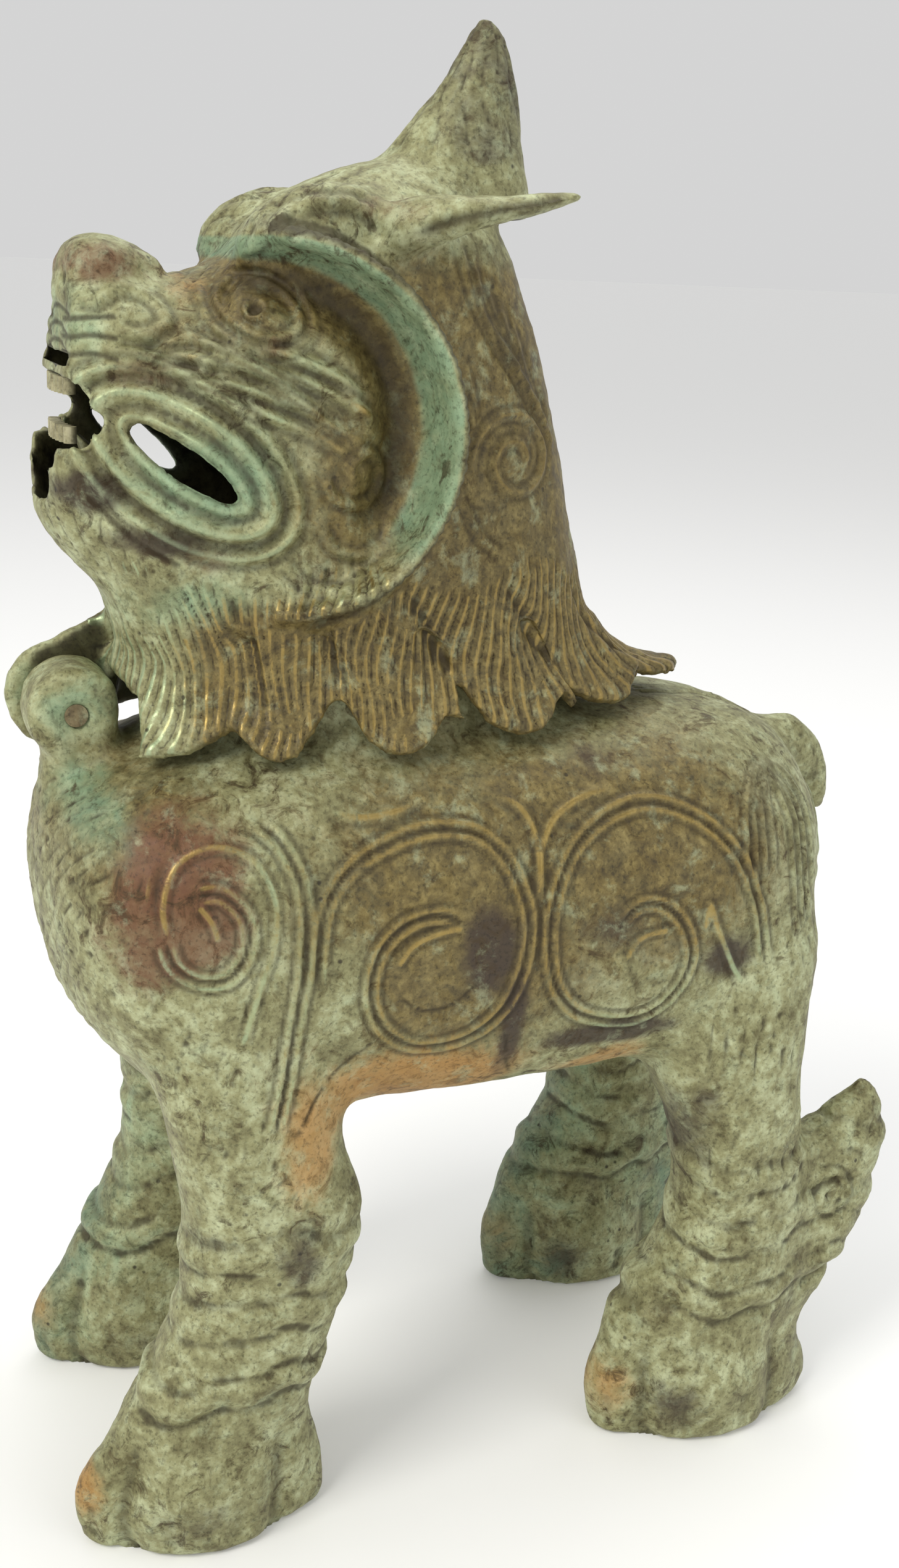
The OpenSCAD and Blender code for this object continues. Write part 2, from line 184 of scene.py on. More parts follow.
class Carving:
    """Relief and tones gathered over one casting, then pressed into its skin."""

    def __init__(self, p, n):
        self.p, self.n = p, n
        self.height = np.zeros(len(p), np.float32)
        # Gold and pale colour on raised ridges: partly worn metal and partly painted highlight
        self.gilt_and_highlight = np.zeros(len(p), np.float32)
        # Dark colour in grooves, rifts and holes: partly dirt and partly painted shade
        self.cut = np.zeros(len(p), np.float32)

    def line(self, plane, points, where, kind="double", width=0.9, deep=0.6, gap=1.75, gold=1.0, fade=0.06):
        """Carves one stroke, drawn in the plane of two of the axes."""
        far, t = along(self.p[:, plane], stroke(points))
        ends = where if fade == 0 else where * smooth(t, 0, fade) * smooth(1 - t, 0, fade)
        if kind == "double":
            bead = bell(far, gap, width)
            groove = bell(far, 0, 0.85 * width) + 0.8 * bell(far, 2 * gap, width)
        elif kind == "bead":
            bead = bell(far, 0, width)
            groove = 0.7 * bell(far, 1.9 * width, width)
        else:
            bead = np.zeros_like(far)
            groove = bell(far, 0, width)
        self.height += ends * deep * (bead - 0.75 * groove)
        self.gilt_and_highlight = np.maximum(self.gilt_and_highlight, gold * ends * bead)
        self.stain_and_shade(ends * groove)

    def strands(self, across, width, where, deep, gold, stain_and_shade=0.7):
        """Hair: rounded ridges of this width side by side, with narrow grooves between them."""
        wave = np.abs(np.cos(math.pi * across / width)) ** 0.625
        self.height += where * deep * (wave - 0.6)
        self.gilt_and_highlight = np.maximum(self.gilt_and_highlight, gold * where * smooth(wave, 0.8, 1))
        self.stain_and_shade(stain_and_shade * where * (1 - smooth(wave, 0.15, 0.6)))

    def raise_by(self, amount):
        self.height += amount.astype(np.float32)

    # Darkens the skin here: partly dirt in the grooves and partly painted shade
    def stain_and_shade(self, amount):
        self.cut = np.maximum(self.cut, amount)

    def sink(self, amount, deep, stain_and_shade=1.0):
        self.raise_by(-deep * amount)
        self.stain_and_shade(stain_and_shade * amount)


# ---------- body carving ----------

SIDE = [1, 2]
FRONT = [0, 2]


def carve_body(p, n):
    c = Carving(p, n)
    x, y, z = p.T
    facing = smooth(np.abs(n[:, 0]), 0.3, 0.65) * (np.abs(x) > 30)
    outer = facing * smooth(np.abs(x), 46, 52)
    flank = outer * smooth(z, 118, 126)
    gentle = dict(width=0.95, gap=1.6, deep=0.62, gold=0.75)
    worn = smooth(wander(p, 21, 11), -0.7, 0.5)
    # Shoulder, middle and haunch scrolls
    c.line(SIDE, [(-86, 184), (-83, 197), (-75, 206), (-63, 209), (-52, 203), (-46.5, 191), (-46, 175),
                  (-48, 158), (-50, 140), (-54, 122)], flank, **gentle)
    c.line(SIDE, [(-79, 178), (-80, 188), (-76, 197), (-67, 201), (-58, 198), (-53.5, 189), (-54, 177),
                  (-58, 165), (-62, 148)], flank, "bead", width=0.9, deep=0.5)
    c.line(SIDE, [(-73, 190), (-66.5, 190.5), (-61, 185), (-60.5, 177), (-65, 170), (-72, 169), (-78, 173),
                  (-80, 180)], flank, **gentle)
    c.line(SIDE, [(-72, 188), (-69, 184), (-67.5, 179)], flank, "bead", width=0.9, deep=0.5)
    c.line(SIDE, [(-42, 158), (-42.5, 174), (-40, 187), (-33, 195), (-22, 200), (-11, 202), (0, 200.5),
                  (7, 195), (12, 186), (14.5, 175), (13, 163), (8.5, 152.5), (1, 146), (-8, 143.5),
                  (-17, 145), (-25, 151.5), (-28.5, 161), (-27, 171.5), (-21, 178.5), (-12, 181), (-4, 178.5),
                  (0, 173)], flank, **gentle)
    c.line(SIDE, [(-22, 168), (-18, 173.5), (-11.5, 176), (-4, 177)], flank, "bead", width=0.9, deep=0.5)
    c.line(SIDE, [(-21, 160), (-14, 155), (-5, 156), (1, 162)], flank, "groove", width=0.7, deep=0.3, gold=0)
    c.line(SIDE, [(90, 150), (87, 162), (84, 174), (78, 187), (69, 197), (58.5, 202.5), (48, 204.2),
                  (37.5, 201.5), (28, 195), (22.5, 185), (20.5, 172.5), (23, 158.5), (30, 149), (38.5, 145),
                  (48.5, 143.8), (57, 147.5), (62, 154.5), (63.5, 162.5), (60, 171.5), (54, 177.3),
                  (46.5, 178.3), (41.2, 173), (40.5, 166)], flank, **gentle)
    c.line(SIDE, [(43, 163), (47.5, 169), (56, 170.5)], flank, "bead", width=0.9, deep=0.5)
    c.line(SIDE, [(67, 168), (68, 176), (71, 169), (77, 158), (82, 150)], flank, "bead", width=1.0, deep=0.55)
    # Cloud lines above the scrolls, and the points where the scrolls meet
    c.line(SIDE, [(-41, 209.5), (-31, 206), (-19, 206.8), (-10, 210.3), (1.5, 211), (11, 207.5),
                  (16.5, 200), (17.5, 184)], flank, "bead", width=1.0, deep=0.55)
    c.line(SIDE, [(-38, 214), (-30, 211), (-22, 209.8), (-13, 212), (-2, 215.5)], flank, "bead",
           width=0.9, deep=0.5)
    c.line(SIDE, [(41, 208.3), (30, 206), (22, 201.5), (18, 194), (17, 183)], flank, "bead",
           width=1.0, deep=0.5)
    c.line(SIDE, [(-26, 148), (-34, 141), (-41, 133), (-47, 123), (-50, 116)], flank, "groove",
           width=0.8, deep=0.4)
    c.line(SIDE, [(10, 146), (13, 134), (19, 124), (27, 119)], flank, "groove", width=0.8, deep=0.35)
    # The long tuft behind the haunch, in nested arches
    for k, (r, deep) in enumerate([(12.5, 0.65), (9.5, 0.55), (6.5, 0.55), (3.6, 0.5)]):
        c.line(SIDE, [(93 - r, 178 + k), (92.5 - r, 192), (93 - 0.9 * r, 201), (93 - 0.3 * r, 205 + 0.3 * r),
                      (93 + 0.55 * r, 203 + 0.3 * r), (93 + r, 196), (94 + r, 184), (97 + r, 172 - 4 * k)],
               facing * smooth(z, 150, 165), "bead", width=0.95, deep=deep, gold=0.45)
    # Long locks of hair down the thigh and the upper front leg
    drift = 2.6 * np.sin(z * 0.07 + 1.1) + 1.4 * np.sin(z * 0.17 + y * 0.05)
    thigh = smooth(y, 64, 74) * smooth(118 - y, 0, 6) * smooth(z, 72, 86) * smooth(z, 190, 150)
    clear = 1 - smooth(blob(y, z, 48, 172, 40, 34), 0.22, 0.42)
    c.strands(y + drift, 4.7, thigh * facing * clear * (0.3 + 0.7 * worn), deep=0.75, gold=0.3, stain_and_shade=0.8)
    upper = smooth(y, -96, -86) * smooth(y, -38, -48) * smooth(z, 88, 104) * smooth(z, 176, 158)
    c.strands(y + drift * 0.8 - 0.12 * z, 4.4, upper * facing * (0.3 + 0.7 * worn), deep=0.55,
              gold=0.25, stain_and_shade=0.6)
    # Straps of nested chevrons on the breast below the knuckle
    breast = smooth(-n[:, 1], 0.35, 0.7) * smooth(y, -84, -92) * smooth(z, 128, 140) * smooth(z, 216, 208)
    c.strands(z - 0.95 * np.abs(x) + 2 * np.sin(x * 0.1), 6.4, breast * smooth(np.abs(x), 48, 36),
              deep=0.65, gold=0.2, stain_and_shade=0.5)
    sweep = smooth(np.abs(x), 24, 40) * smooth(y, -60, -76) * smooth(z, 158, 172) * smooth(z, 222, 214)
    c.strands(z - 0.55 * y, 6.0, sweep * (1 - outer) * 0.9, deep=0.5, gold=0.25, stain_and_shade=0.5)
    # Spine and rump
    spine = smooth(n[:, 2], 0.5, 0.85) * smooth(y, 62, 72) * smooth(z, 190, 200)
    c.line([0, 1], [(0, 70), (0, 95), (0, 112)], spine, "double", width=1.0, gap=2.2, deep=0.6, gold=0.4)
    rump = smooth(n[:, 1], 0.25, 0.6) * smooth(y, 96, 106) * smooth(z, 118, 130)
    for side in (-1, 1):
        c.line(FRONT, scroll(side * 22, 182, 15, 2.5, 90, -side * 560), rump, **gentle)
        c.line(FRONT, [(side * 6, 150), (side * 20, 150), (side * 34, 160), (side * 40, 178)], rump, "bead",
               width=0.9, deep=0.5)
    # Wrinkles round the legs
    leg = smooth(z, 30, 36) * smooth(z, 104, 96) * (np.abs(n[:, 2]) < 0.8)
    bend = z + 2.2 * np.sin(y * 0.11 + x * 0.07) + 1.1 * np.sin(y * 0.31 - x * 0.2)
    for height, deep, width in [(43.5, 1.5, 2.2), (53, 0.5, 1.6), (64, 0.7, 1.5), (75, 0.9, 2.0),
                                (84, 0.5, 1.5), (93, 0.9, 2.4)]:
        dip = bell(bend, height, width) * leg * (0.35 + 0.65 * worn)
        c.sink(dip, deep, 0.6)
    for height, lift in [(48.5, 1.3), (69.5, 0.8), (88.5, 0.8)]:
        c.raise_by(lift * leg * bell(bend, height, 3.2))
    # Toes: a knuckle and a groove on both sides of each, with a blunt claw
    for middle in (-69.0, 89.0):
        for side in (-1, 1):
            u, v = (x - side * 43.0) / 18.5, (y - middle) / 33
            turn = np.degrees(np.arctan2(u, -v))
            paw = smooth(z, 40, 24) * smooth(np.hypot(u, v), 0.35, 0.8) * (np.hypot(u, v) < 1.5)
            for split, deep in [(38, 2.25), (-38, 2.25), (128, 1.8), (-128, 1.8)]:
                rift = bell(turn, split, 9) * paw
                c.raise_by(-deep * rift)
                c.stain_and_shade(0.7 * rift ** 2)
            for toe in (0, 84, -84):
                over = np.abs(turn - toe)
                knob = bell(over, 0, 24) * paw * bell(z, 20, 8)
                claw = bell(over, 17, 5) * paw * smooth(z, 17, 13) * smooth(z, 2, 5)
                c.raise_by(1.9 * knob - 0.7 * claw)
                c.stain_and_shade(0.5 * claw)
    # Hock tufts and the tail: hair that follows their length, and a small curl
    tuft = smooth(y, 112, 120) * smooth(z, 20, 34) * (z < 112) * (np.abs(x) > 28)
    c.strands(y - 0.42 * z + 1.2 * np.sin(z * 0.12), 6.0,
              tuft * smooth(np.abs(n[:, 0]), 0.2, 0.5) * worn, deep=0.5, gold=0.1, stain_and_shade=0.4)
    c.line(SIDE, scroll(124, 73, 8, 2, 130, -420), tuft * facing, "bead", width=1.1, deep=0.9, gold=0.2)
    tail = smooth(y, 118, 124) * (np.abs(x) < 12) * smooth(z, 174, 180)
    c.strands(x + 0.3 * np.sin(z * 0.2), 4.4, tail, deep=0.6, gold=0.15, stain_and_shade=0.5)
    # The lumpy skin of an old casting
    skin = smooth(z, 1.0, 5.0)
    c.raise_by(skin * (0.32 * wander(p, 34, 1) + 0.16 * wander(p, 13, 2) + 0.09 * wander(p, 6, 3)))
    inside = inner_body(p, n)
    c.height *= 1 - inside
    return c, inside


# ---------- head carving ----------

# The middle of the cheek slot, how it leans, and how much slimmer it is pressed
SLOT = (-69.5, 291.0)
SLOT_TILT = -35
SLOT_PINCH = 0.36
# The middle of the ring that the crescent fin follows
FLANGE = (-51.0, 299.0)
# Where the notches in the collar are, in degrees from the side, and how far each is cut up
NOTCHES = [(-36, 6.0), (-19, 8.0), (3, 9.0), (29, 9.0), (57, 7.0)]


def oval(l, h, centre=SLOT, tilt=SLOT_TILT):
    return scroll(*centre, l, l, 0, 360, h / l, tilt, 40)


def from_flange(p):
    """How far a point lies from the middle of the crescent fin, and in which direction."""
    u, v = p[:, 1] - FLANGE[0], p[:, 2] - FLANGE[1]
    return np.hypot(u, v), np.degrees(np.arctan2(v, u))


def model_head(p):
    """Presses both walls: a deep hollow before the crescent fin, a taller fin, a slimmer cheek slot
    and deeper notches between the lobes of the collar."""
    p = p.copy()
    out = np.sign(p[:, 0])
    wide = np.abs(p[:, 0])
    reach, turn = from_flange(p)
    behind = smooth(turn, -52, -20) * smooth(turn, 112, 92)
    hollow = bell(reach, 34, 5.5) * behind * smooth(wide, 16, 26) * smooth(42.5 - reach, 0, 2)
    fin = smooth(reach, 40.5, 42) * smooth(reach, 53, 50) * smooth(turn, -80, -55) * smooth(turn, 112, 96)
    p[:, 0] += out * (5.5 * fin * smooth(wide, 34, 41) - 6.0 * hollow)
    c, s = math.cos(math.radians(SLOT_TILT)), math.sin(math.radians(SLOT_TILT))
    u, v = p[:, 1] - SLOT[0], p[:, 2] - SLOT[1]
    along_slot, over = u * c + v * s, v * c - u * s
    near = smooth(-np.hypot(along_slot / 24, over / 17), -1, -0.45) * smooth(wide, 16, 20)
    shift = -SLOT_PINCH * over * near
    p[:, 1] -= shift * s
    p[:, 2] += shift * c
    mid = -13 + 6 * smooth(p[:, 2], 248, 220)
    round_ = np.degrees(np.arctan2((p[:, 1] - mid) / 1.9, wide))
    for notch, up_by in NOTCHES:
        w = bell(round_, notch, 4.6) * smooth(p[:, 2], 254, 238) * (reach > 46)
        p[:, 2] += up_by * w
        p[:, 0] -= out * 0.45 * up_by * w
    return p


def carve_head(p, n):
    c = Carving(p, n)
    x, y, z = p.T
    side = smooth(np.abs(n[:, 0]), 0.22, 0.5) * smooth(np.abs(x), 14, 20)
    skull = side * smooth(z, 249, 256)
    # Lip ridges round each cheek slot
    for grow, width, deep in [(2.4, 1.3, 0.6), (8.0, 1.9, 1.7), (13.4, 1.5, 1.3)]:
        c.line(SIDE, oval(14.5 + grow * 1.15, 3.6 + grow), skull * smooth(y, -99, -95), "bead",
               width=width, deep=deep, gold=0.7, fade=0)
    # Whiskers that sweep back from the muzzle over the cheek
    clear = skull * (y > -91) * smooth(np.hypot(y + 51, z - 329), 8, 11)
    for lift, start, end, wave in [(0.0, 0.0, 1.0, 0.0), (3.6, 0.12, 0.9, 1.6), (7.4, 0.02, 1.0, 3.1),
                                   (10.8, 0.3, 0.86, 4.4), (14.6, 0.36, 1.0, 5.6), (18.4, 0.5, 0.92, 7.0)]:
        t = np.linspace(start, end, 14)
        height = 315.5 - 26 * t ** 1.7 + lift * (0.35 + 0.75 * t - 0.45 * t ** 3) + 1.3 * np.sin(9 * t + wave)
        lock = np.stack([-91 + 66 * t + 0.25 * lift, height], 1)
        c.line(SIDE, lock, clear, "bead", width=1.35, deep=1.4, gold=0.8, fade=0.2)
    c.line(SIDE, [(-77, 313), (-73.5, 318), (-67, 320.5), (-61.5, 317), (-66, 313), (-73, 312.5)], skull,
           "bead", width=1.0, deep=0.8, gold=0.2)
    # Hooked curls on the jaw muscle
    c.line(SIDE, [(-37, 290), (-34, 284), (-27, 281.5), (-21, 284.5), (-20.5, 291), (-25, 294.5),
           (-30, 291.5), (-28, 287.5)], skull, "bead", width=1.1, deep=0.9, gold=0.3)
    c.line(SIDE, [(-37, 277), (-33, 271), (-26, 269.5), (-20, 273), (-18, 279)], skull, "bead", width=1.1,
           deep=0.8, gold=0.3)
    c.line(SIDE, [(-46, 268), (-40, 262), (-31, 261), (-24, 265)], skull, "bead", width=1.0, deep=0.6,
           gold=0.2)
    c.line(SIDE, [(-92, 283), (-86, 277), (-79, 271), (-70, 266)], skull, "groove", width=1.1, deep=0.7)
    # The hollow in front of the crescent fin, with painted shade in it, and the notches on the fin
    reach, turn = from_flange(p)
    behind = smooth(turn, -48, -25) * smooth(turn, 108, 90) * smooth(np.abs(x), 14, 20)
    c.stain_and_shade(0.95 * bell(reach, 35, 5.0) * behind * smooth(z, 262, 276))
    fin = smooth(reach, 40.5, 42.5) * smooth(reach, 51, 49) * smooth(turn, -85, -70) * smooth(turn, 106, 96)
    fin = fin * (np.abs(x) > 31)
    c.strands(turn, 4.0, fin * smooth(reach, 44.5, 46.5), deep=0.55, gold=0.15, stain_and_shade=0.6)
    c.stain_and_shade(fin * smooth(reach, 44, 46.5))
    # Curls and locks on the nape
    nape = side * smooth(y, -4, 2) * smooth(z, 252, 258)
    c.line(SIDE, scroll(17, 292, 14.5, 2.0, 210, -620, 0.95), nape, "bead", width=1.1, deep=0.7, gold=0.6)
    for k in range(5):
        c.line(SIDE, [(-1 + 4.2 * k, 345 - 5 * k), (3 + 4.6 * k, 333 - 5 * k), (10 + 4.4 * k, 322 - 5 * k),
               (19 + 3.4 * k, 314 - 5 * k)], side * smooth(y, -6, 0), "bead", width=1.1, deep=0.6, gold=0.3)
        c.line(SIDE, [(-1 + 0.5 * k, 318 - 9 * k), (3 + 0.6 * k, 306 - 8 * k), (3 + 2.6 * k, 292 - 6 * k)],
               nape * (np.hypot(y - 17, z - 292) > 16), "bead", width=1.0, deep=0.5, gold=0.3)
    # Locks that run from the neck down each lobe of the collar
    mid = -13 + 6 * smooth(z, 248, 220)
    round_ = np.degrees(np.arctan2((y - mid) / 1.9, np.abs(x)))
    fall = np.clip((262 - z) / 40, 0, 1)
    ruff = smooth(z, 268 - 4 * np.sin(round_ * 0.14), 261 - 4 * np.sin(round_ * 0.14)) * (y > -86)
    outward = smooth(n[:, 2] + 0.9 * np.hypot(n[:, 0], n[:, 1]), 0.25, 0.6)
    ring = np.radians(np.linspace(-90, 90, 91))
    girth = np.cumsum(np.hypot(44 * np.sin(ring), 84 * np.cos(ring))) * math.radians(2)
    flow = np.interp(round_, np.degrees(ring), girth) + 0.7 * np.sin(z * 0.2 + round_ * 0.3)
    flow += 15 * fall * np.cos(np.radians(round_)) * smooth(round_, -40, 10)
    flow -= 5 * fall * smooth(round_, -10, -50)
    c.strands(flow, 3.7, ruff * outward, deep=0.95, gold=0.8, stain_and_shade=1.0)
    lobe_map = np.stack([round_ * 1.15, z], 1).astype(np.float32)
    for start, tip, low in [(-40, -33, 240), (-23, -16, 246), (-2, 8, 248), (22, 36, 247), (50, 64, 243)]:
        path = [(start * 1.15, 262), ((start + tip) * 0.56, 253), (tip * 1.15, low - 8)]
        far, t = along(lobe_map, stroke(path))
        rift = bell(far, 0, 1.7) * ruff * outward * smooth(t, 0, 0.3)
        c.sink(rift, 1.0)
    c.gilt_and_highlight *= 1 - 0.6 * c.cut * (z > 262)
    # Horn: shallow flutes that twist a little
    horn = smooth(z, 362, 370) * (y > -20)
    lean = y - (8 + 0.17 * (z - 350))
    flute = np.degrees(np.arctan2(lean, np.abs(x) + 0.1)) + 1.1 * (z - 360) + 6 * np.sin(z * 0.3)
    c.strands(flute, 30, horn * smooth(z, 400, 394), deep=0.7, gold=0.12)
    # Ears: a hollow along the middle of each, between rolled edges
    ear = smooth(np.abs(x), 33, 38) * smooth(y, -20, -12) * (z > 334)
    middle = 346 + 0.42 * (y + 15) - 0.004 * (y + 15) ** 2
    dish = bell(z, middle, 2.6) * ear * smooth(24 - y, 2, 10) * smooth(np.abs(n[:, 0]), 0.1, 0.4)
    c.sink(dish, 1.3)
    # Brows: a rolled ridge with tufts, and the folds between them
    brow = smooth(z, 332, 338) * smooth(y, -58, -52) * smooth(y, -18, -26)
    c.line(SIDE, [(-54, 338), (-49, 346), (-41, 351), (-32, 352), (-24, 350), (-20, 345), (-24, 342)], brow
           * side, "bead", width=1.3, deep=1.0, gold=0.25)
    for s in (-1, 1):
        c.line([0, 1], [(4 * s, -58), (7 * s, -48), (8 * s, -36), (6 * s, -24)],
               brow * smooth(n[:, 2], 0.2, 0.6), "groove", width=1.2, deep=0.9)
    tufts = smooth(n[:, 2], 0.1, 0.5) * brow * smooth(np.abs(x), 9, 13)
    c.strands(np.abs(x) * 0.8 + y * 0.8, 6.0, tufts, deep=0.7, gold=0.25)
    bridge = smooth(n[:, 2], 0.3, 0.7) * smooth(y, -74, -70) * smooth(y, -54, -58) * smooth(np.abs(x), 20, 14)
    c.strands(y + 0.03 * x ** 2, 4.6, bridge, deep=0.7, gold=0.15)
    # Eyes: lids, a ring and a drilled pupil
    for grow, deep in [(0, 0.9), (3.0, 0.55)]:
        c.line(SIDE, oval(9.2 + grow, 6.4 + grow, (-51, 327.5), -14), side * (z < 340), "bead", width=1.1,
               deep=deep, gold=0.2, fade=0)
    for s in (-1, 1):
        d = p - np.array([s * 30, -51, 327], np.float32)
        ahead = d @ (np.array([s * 0.82, -0.52, 0.18], np.float32) / 0.99)
        away = np.sqrt(np.maximum((d ** 2).sum(1) - ahead ** 2, 0))
        ball = (ahead > 2) * (ahead < 12)
        c.raise_by(ball * (-1.8 * smooth(away, 2.3, 1.2) - 0.45 * bell(away, 4.0, 0.6)))
        c.stain_and_shade(ball * np.maximum(smooth(away, 2.4, 1.4), 0.6 * bell(away, 4.0, 0.7)))
    # Nose: drilled nostrils under curled wings, and folds round the muzzle
    nose = smooth(-n[:, 1], 0.3, 0.6) * (y < -84)
    for s in (-1, 1):
        hole = blob(x, z, s * 7, 332.5, 3.0, 2.2) * nose
        c.raise_by(-2.2 * hole)
        c.stain_and_shade(smooth(hole, 0.3, 0.7))
    wing = side * (y < -66)
    c.line(SIDE, [(-93, 329), (-88, 328), (-82, 331), (-75.5, 329.5), (-72, 324), (-77, 320.5),
           (-84, 321.5)], wing, "bead", width=1.2, deep=0.9, gold=0.2)
    for k, low in enumerate([324.5, 320.5, 316.5]):
        c.line(SIDE, [(-97, low - 2), (-90, low - 0.5), (-83, low - k)], smooth(np.abs(x), 4, 8) * (y <
               -78), "groove", width=0.9, deep=0.6)
        c.line(FRONT, [(-16, low - 1), (-6, low + 1), (0, low + 1.5), (6, low + 1), (16, low - 1)], nose *
               (z < 327), "groove", width=0.9, deep=0.5)
    # A short beard under the lower lip
    beard = smooth(z, 290, 284) * smooth(z, 252, 262) * smooth(-n[:, 1], 0.1, 0.5) * smooth(y, -80, -86)
    c.strands(x + 0.18 * np.abs(x) * (285 - z) / 10, 5.0, beard, deep=0.6, gold=0.1)
    # The uneven skin of an old casting
    c.raise_by(0.22 * wander(p, 22, 4) + 0.12 * wander(p, 9, 5) + 0.07 * wander(p, 4.5, 6))
    inside = inner_head(p, n)
    c.height *= 1 - inside
    return c, inside


def inner_head(p, n):
    """Where the skin of the head faces its hollow."""
    x, y, z = p.T
    rise = np.where(z > 300, (z - 300) / 60.0 ** 2, (z - 300) / 400.0 ** 2)
    level = (np.abs(x / 38.0) ** 2.4 + np.abs((y + 24) / np.where(y > -24, 68, 78)) ** 2.4
             + np.abs(np.maximum(z - 300, 0) / 66) ** 2.4)
    inward = n[:, 0] * x / 36.0 ** 2 + n[:, 1] * (y + 24) / 66.0 ** 2 + n[:, 2] * rise
    return (smooth(-inward * 30, 0.02, 0.25) * smooth(1.06 - level, 0, 0.06)).astype(np.float32)


def inner_body(p, n):
    """Where the skin of the body faces its hollow."""
    x, y, z = p.T
    level = np.abs(x / 61) ** 2.6 + np.abs((y - 10) / 113) ** 2.6 + np.abs((z - 168.5) / 54.5) ** 2.6
    inward = n[:, 0] * x / 61.0 ** 2 + n[:, 1] * (y - 10) / 113.0 ** 2 + n[:, 2] * (z - 168.5) / 54.0 ** 2
    return (smooth(-inward * 50, 0.03, 0.3) * smooth(1.0 - level, 0.0, 0.04)).astype(np.float32)


# ---------- tones of the patina ----------

def tone_body(p):
    x, y, z = p.T
    side = smooth(np.abs(x), 22, 40)
    ochre = smooth(z, 112, 122) * np.maximum(blob(y, z, -5, 178, 48, 46), blob(y, z, 52, 190, 40, 34))
    ochre = np.maximum(ochre, 0.8 * blob(y, z, 25, 208, 60, 16))
    ochre = np.maximum(ochre, 0.7 * blob(y, z, -80, 200, 26, 26)) * (1 - 0.8 * blob(y, z, -36, 160, 9, 16))
    rust = 1.1 * blob(y, z, -74, 190, 17, 20) * side + 0.5 * blob(y, z, -83, 172, 10, 12)
    plum = np.maximum.reduce([1.2 * blob(y, z, 4, 170, 9, 15), 1.1 * blob(y, z, 76, 160, 11, 9),
                              1.1 * blob(y, z, 42, 140, 26, 5), 1.0 * blob(y, z, 12, 148, 5, 22),
                              0.7 * blob(y, z, 38, 172, 15, 11), 0.7 * blob(y, z, 38, 214, 14, 7),
                              0.5 * blob(y, z, -68, 93, 16, 7), 0.8 * blob(y, z, -46, 88, 9, 16),
                              0.75 * blob(y, z, 74, 108, 9, 30),
                              # The beast's right side below the belly is darker purple-brown here: painted
                              # shade
                              0.6 * smooth(x, -20, -40) * smooth(z, 110, 60),
                              0.8 * blob(y, z, 74, 12, 12, 14), 0.6 * blob(y, z, -72, 12, 16, 12),
                              0.6 * blob(y, z, 112, 38, 12, 7), 0.55 * blob(y, z, 60, 118, 7, 14)])
    orange = np.maximum.reduce([1.1 * blob(y, z, -14, 130, 34, 15), 0.8 * blob(y, z, -43, 122, 10, 22),
                                0.7 * blob(y, z, 46, 128, 18, 9), 0.8 * blob(y, z, -101, 20, 6, 10),
                                0.6 * blob(y, z, 56, 18, 7, 12), 0.35 * blob(y, z, 92, 68, 14, 4)])
    teal = np.maximum(0.5 * smooth(x, -12, -34) * smooth(z, 150, 110),
                      0.7 * np.maximum(blob(y, z, -92, 206, 10, 12), blob(y, z, -90, 228, 16, 12)))
    teal = np.maximum(teal, 0.45 * blob(y, z, 20, 124, 8, 14))
    return ochre, rust, plum, teal, orange


def tone_head(p):
    x, y, z = p.T
    reach, turn = from_flange(p)
    behind = smooth(turn, -60, -20) * smooth(turn, 112, 92)
    olive = np.maximum.reduce([smooth(z, 268, 246) * smooth(y, -84, -50),
                               smooth(reach, 47, 51) * smooth(y, -36, -8) * smooth(z, 352, 330),
                               # The olive-brown in the hollow before the crescent fin is painted shade
                               0.95 * bell(reach, 34, 9) * behind,
                               0.85 * blob(y, z, -28, 286, 18, 24), 0.7 * blob(y, z, -54, 330, 16, 14),
                               0.45 * blob(y, z, -70, 322, 16, 8)])
    rust = np.maximum.reduce([0.8 * blob(y, z, -86, 336, 12, 6), 0.55 * blob(y, z, -80, 312, 12, 6),
                              0.5 * blob(y, z, -66, 268, 14, 6), 0.5 * blob(y, z, -20, 352, 14, 6),
                              0.45 * blob(y, z, -50, 318, 7, 5)])
    plum = np.maximum.reduce([1.1 * blob(y, z, -91, 284, 10, 6), 0.9 * blob(y, z, -76, 272, 16, 5),
                              0.6 * blob(y, z, 10, 352, 16, 4), 0.5 * blob(y, z, -40, 264, 10, 5),
                              0.6 * smooth(z, 356, 366) * smooth(y, -12, 6),
                              0.5 * blob(y, z, -48, 346, 8, 4)])
    fin_face = smooth(reach, 38, 41) * smooth(reach, 46, 44) * behind
    teal = np.maximum.reduce([0.8 * fin_face, 0.85 * blob(y, z, -64, 288, 20, 13),
                              0.7 * blob(y, z, -66, 256, 20, 9),
                              0.6 * blob(y, z, -95, 228, 16, 12), 0.5 * blob(y, z, -92, 322, 9, 14)])
    orange = np.maximum(0.4 * blob(y, z, -66, 332, 8, 7), 0.25 * blob(y, z, 0, 362, 16, 5))
    return olive, rust, plum, teal * (1 - 0.5 * smooth(z, 262, 248) * smooth(y, -74, -62)), orange


# ---------- pieces ----------

def refine(mesh, near):
    """Splits the faces round the carved lines into four."""
    bm = bmesh.new()
    bm.from_mesh(mesh)
    bm.verts.ensure_lookup_table()
    faces = [f for f in bm.faces if any(near[v.index] for v in f.verts)]
    edges = {e for f in faces for e in f.edges}
    bmesh.ops.subdivide_edges(bm, edges=list(edges), cuts=1, use_grid_fill=True)
    bm.to_mesh(mesh)
    bm.free()


